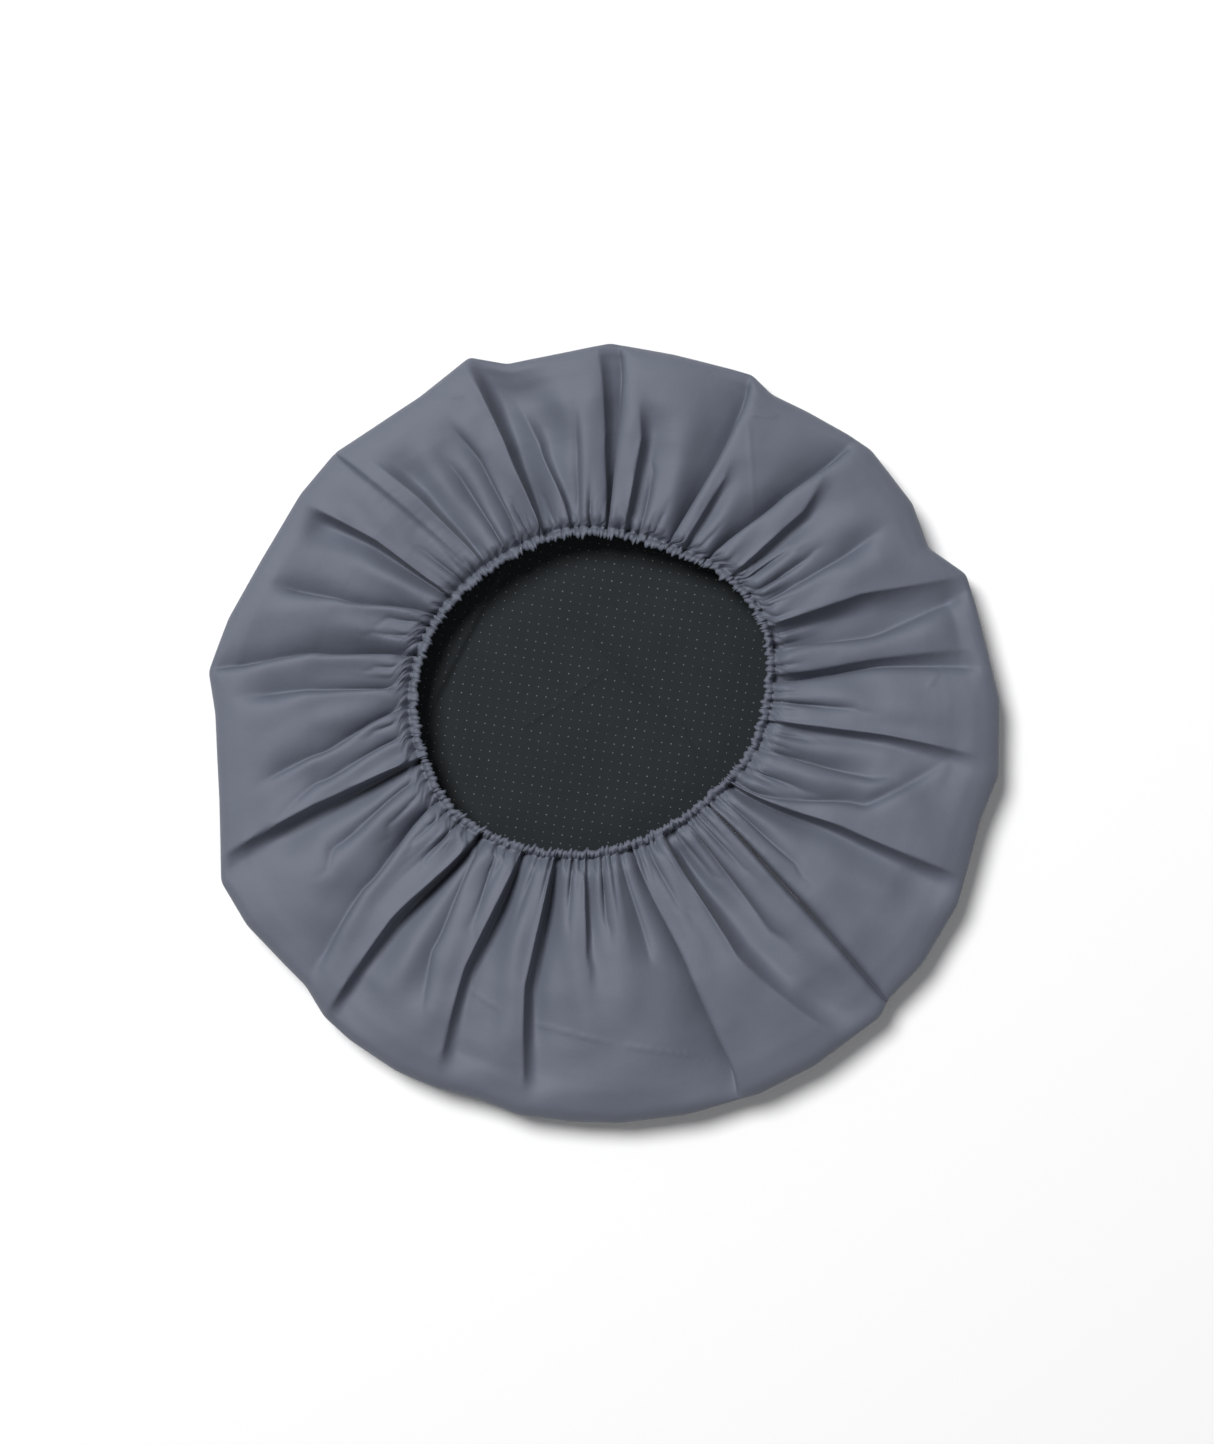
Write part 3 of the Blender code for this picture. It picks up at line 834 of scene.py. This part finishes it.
def cover_fabric():
    """Closely woven coated polyester: a fine dull sheen, a slight slub and a soft crinkle."""
    material, tree, shader = principled("cover_fabric", 0.60)
    mixed_colour(tree, shader, noise(tree, 26, 8), (0.105, 0.1175, 0.154), (0.123, 0.137, 0.178))
    shader.inputs["Sheen Weight"].default_value = 0.06
    shader.inputs["Sheen Roughness"].default_value = 0.45
    shader.inputs["Specular IOR Level"].default_value = 0.42
    weave = summed(tree, threads(tree, "X", 0.0007), threads(tree, "Y", 0.0006))
    bumped(tree, shader, (
        (noise(tree, 70, 3), 0.35, 0.0012),
        (noise(tree, 700, 3), 0.45, 0.0002),
        (weave, 0.50, 0.00008),
    ))
    return material


def lining_fabric():
    """Black felted lining."""
    material, tree, shader = principled("lining_fabric", 0.80)
    mixed_colour(tree, shader, noise(tree, 45, 8), (0.0076, 0.0103, 0.0127), (0.0118, 0.0157, 0.0187))
    shader.inputs["Specular IOR Level"].default_value = 0.3
    shader.inputs["Sheen Weight"].default_value = 0.05
    shader.inputs["Sheen Roughness"].default_value = 0.6
    bumped(tree, shader, ((noise(tree, 80, 3), 0.3, 0.001), (noise(tree, 1100, 4), 0.5, 0.0003)))
    return material


def dot_print():
    """Rubbery pale print on the lining."""
    material, tree, shader = principled("dot_print", 0.45)
    mixed_colour(tree, shader, noise(tree, 120, 4), (0.05, 0.058, 0.066), (0.15, 0.16, 0.17))
    bumped(tree, shader, ((noise(tree, 2500, 2), 0.2, 0.0001),))
    return material


def tape_fabric():
    """Ribbed polyester tape."""
    material, tree, shader = principled("binding_tape", 0.7)
    mixed_colour(tree, shader, noise(tree, 60, 5), (0.045, 0.050, 0.062), (0.060, 0.066, 0.080))
    bumped(tree, shader, ((threads(tree, "X", 0.0016), 0.6, 0.0002), (noise(tree, 900, 3), 0.3, 0.0001)))
    return material


def thread_finish():
    """Twisted polyester thread."""
    material, tree, shader = principled("thread", 0.5)
    mixed_colour(tree, shader, noise(tree, 300, 3), (0.15, 0.16, 0.20), (0.21, 0.22, 0.27))
    bumped(tree, shader, ((noise(tree, 3000, 2), 0.4, 0.0001),))
    return material


def elastic_finish():
    """Off-white braided elastic."""
    material, tree, shader = principled("elastic", 0.65)
    mixed_colour(tree, shader, noise(tree, 200, 4), (0.50, 0.50, 0.48), (0.62, 0.62, 0.60))
    bumped(tree, shader, ((threads(tree, "X", 0.0009), 0.5, 0.0002),))
    return material


def make_floor():
    mesh = bpy.data.meshes.new("floor")
    shape = bmesh.new()
    bmesh.ops.create_grid(shape, x_segments=1, y_segments=1, size=6)
    shape.to_mesh(mesh)
    shape.free()
    floor = bpy.data.objects.new("floor", mesh)
    bpy.context.scene.collection.objects.link(floor)
    material, _, shader = principled("floor_white", 0.9)
    shader.inputs["Base Color"].default_value = (0.95, 0.95, 0.95, 1)
    mesh.materials.append(material)


# Lamps, as (name, place, size in metres, power in watts)
LAMPS = (("key_light", (-2.6, 2.9, 6.7), 3.0, 640), ("fill_light", (2.0, -1.6, 3.8), 3.0, 20))
WORLD_STRENGTH = 0.13


def make_light():
    world = bpy.data.worlds.new("studio")
    world.use_nodes = True
    world.node_tree.nodes["Background"].inputs["Color"].default_value = (1, 1, 1, 1)
    world.node_tree.nodes["Background"].inputs["Strength"].default_value = WORLD_STRENGTH
    bpy.context.scene.world = world
    for name, place, size, power in LAMPS:
        light = bpy.data.lights.new(name, "AREA")
        light.shape = "DISK"
        light.size = size
        light.energy = power
        lamp = bpy.data.objects.new(name, light)
        lamp.location = place
        lamp.rotation_euler = (-Vector(place)).to_track_quat("-Z", "Y").to_euler()
        bpy.context.scene.collection.objects.link(lamp)


CAMERA_PLACE = (0.0004, 0.0108)
CAMERA_DISTANCE = 2.6
VIEW_WIDTH = 1.0925  # what the picture takes in, at the view's level
VIEW_LEVEL = 0.03
SENSOR_WIDTH = 36  # mm


def make_camera():
    """A camera straight above, that looks down."""
    camera = bpy.data.objects.new("camera", bpy.data.cameras.new("camera"))
    bpy.context.scene.collection.objects.link(camera)
    bpy.context.scene.camera = camera
    camera.data.sensor_fit = "HORIZONTAL"
    camera.data.sensor_width = SENSOR_WIDTH
    camera.data.lens = SENSOR_WIDTH * CAMERA_DISTANCE / VIEW_WIDTH
    camera.location = (*CAMERA_PLACE, CAMERA_DISTANCE + VIEW_LEVEL)


def make_colours():
    scene = bpy.context.scene
    scene.view_settings.view_transform = "Standard"
    scene.view_settings.look = "None"


make_camera()
make_light()
make_floor()
make_colours()
fabric = cover_fabric()
lining = lining_fabric()
thread = thread_finish()
elastic_cord = elastic_finish()

cloth = make_band()
half = BAND_COLUMNS // 2
band_size = (ROUND / 2, BAND_WIDTH + HEM_ALLOWANCE)
lower = grid_piece("band_lower_cloth", cloth[:, :half + 1], fabric, band_size)
upper = grid_piece("band_upper_cloth", cloth[:, half:], fabric, band_size)

front_size = (2 * FRONT_RADIUS, 2 * FRONT_RADIUS)
x, y, room = round_grid(290, 0.4 * MM)
panel = np.stack([x, y, lining_height(x, y, room)], 2)
lining_panel = grid_piece("lining_panel", panel, lining, front_size)
dots = lining_dots(dot_print())
x, y, room = round_grid(160, 0)
uneven = np.clip(LINING_WAVES(x, y), -1, 1) * smooth_step(room, 0, 20 * MM)
panel = np.stack([x, y, FACE_HEIGHT * (0.5 + 0.3 * uneven)], 2)
face_panel = grid_piece("face_panel", panel, fabric, front_size)

tape = binding_piece(tape_fabric())
perimeter = stitches("perimeter_stitches", seam_line(1.6 * MM, 4.9 * MM), thread)
hem = stitches("hem_stitches", cloth[BAND_ROWS - 1] + UPWARD * THREAD_RADIUS, thread)
seams = cloth[2:BAND_ROWS - 3] - UPWARD * SIDE_STITCH_DEPTH
left = stitches("side_seam_stitches_left", seams[:, 0], thread)
right = stitches("side_seam_stitches_right", seams[:, half], thread)
elastic = closed_tube("elastic_ring", hem_line(1200), ELASTIC_RADIUS, 12, elastic_cord)
join = whipping("elastic_whipping", hem_line(1200), thread)

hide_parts("band_lower_half")
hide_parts("band_upper_half")
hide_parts("front_face")
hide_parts("front_lining")
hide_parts("perimeter_binding")
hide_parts("perimeter_stitching")
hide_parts("hem_stitching")
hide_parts("side_seam_stitching_left")
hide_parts("side_seam_stitching_right")
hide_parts("hem_elastic")
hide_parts("elastic_join")
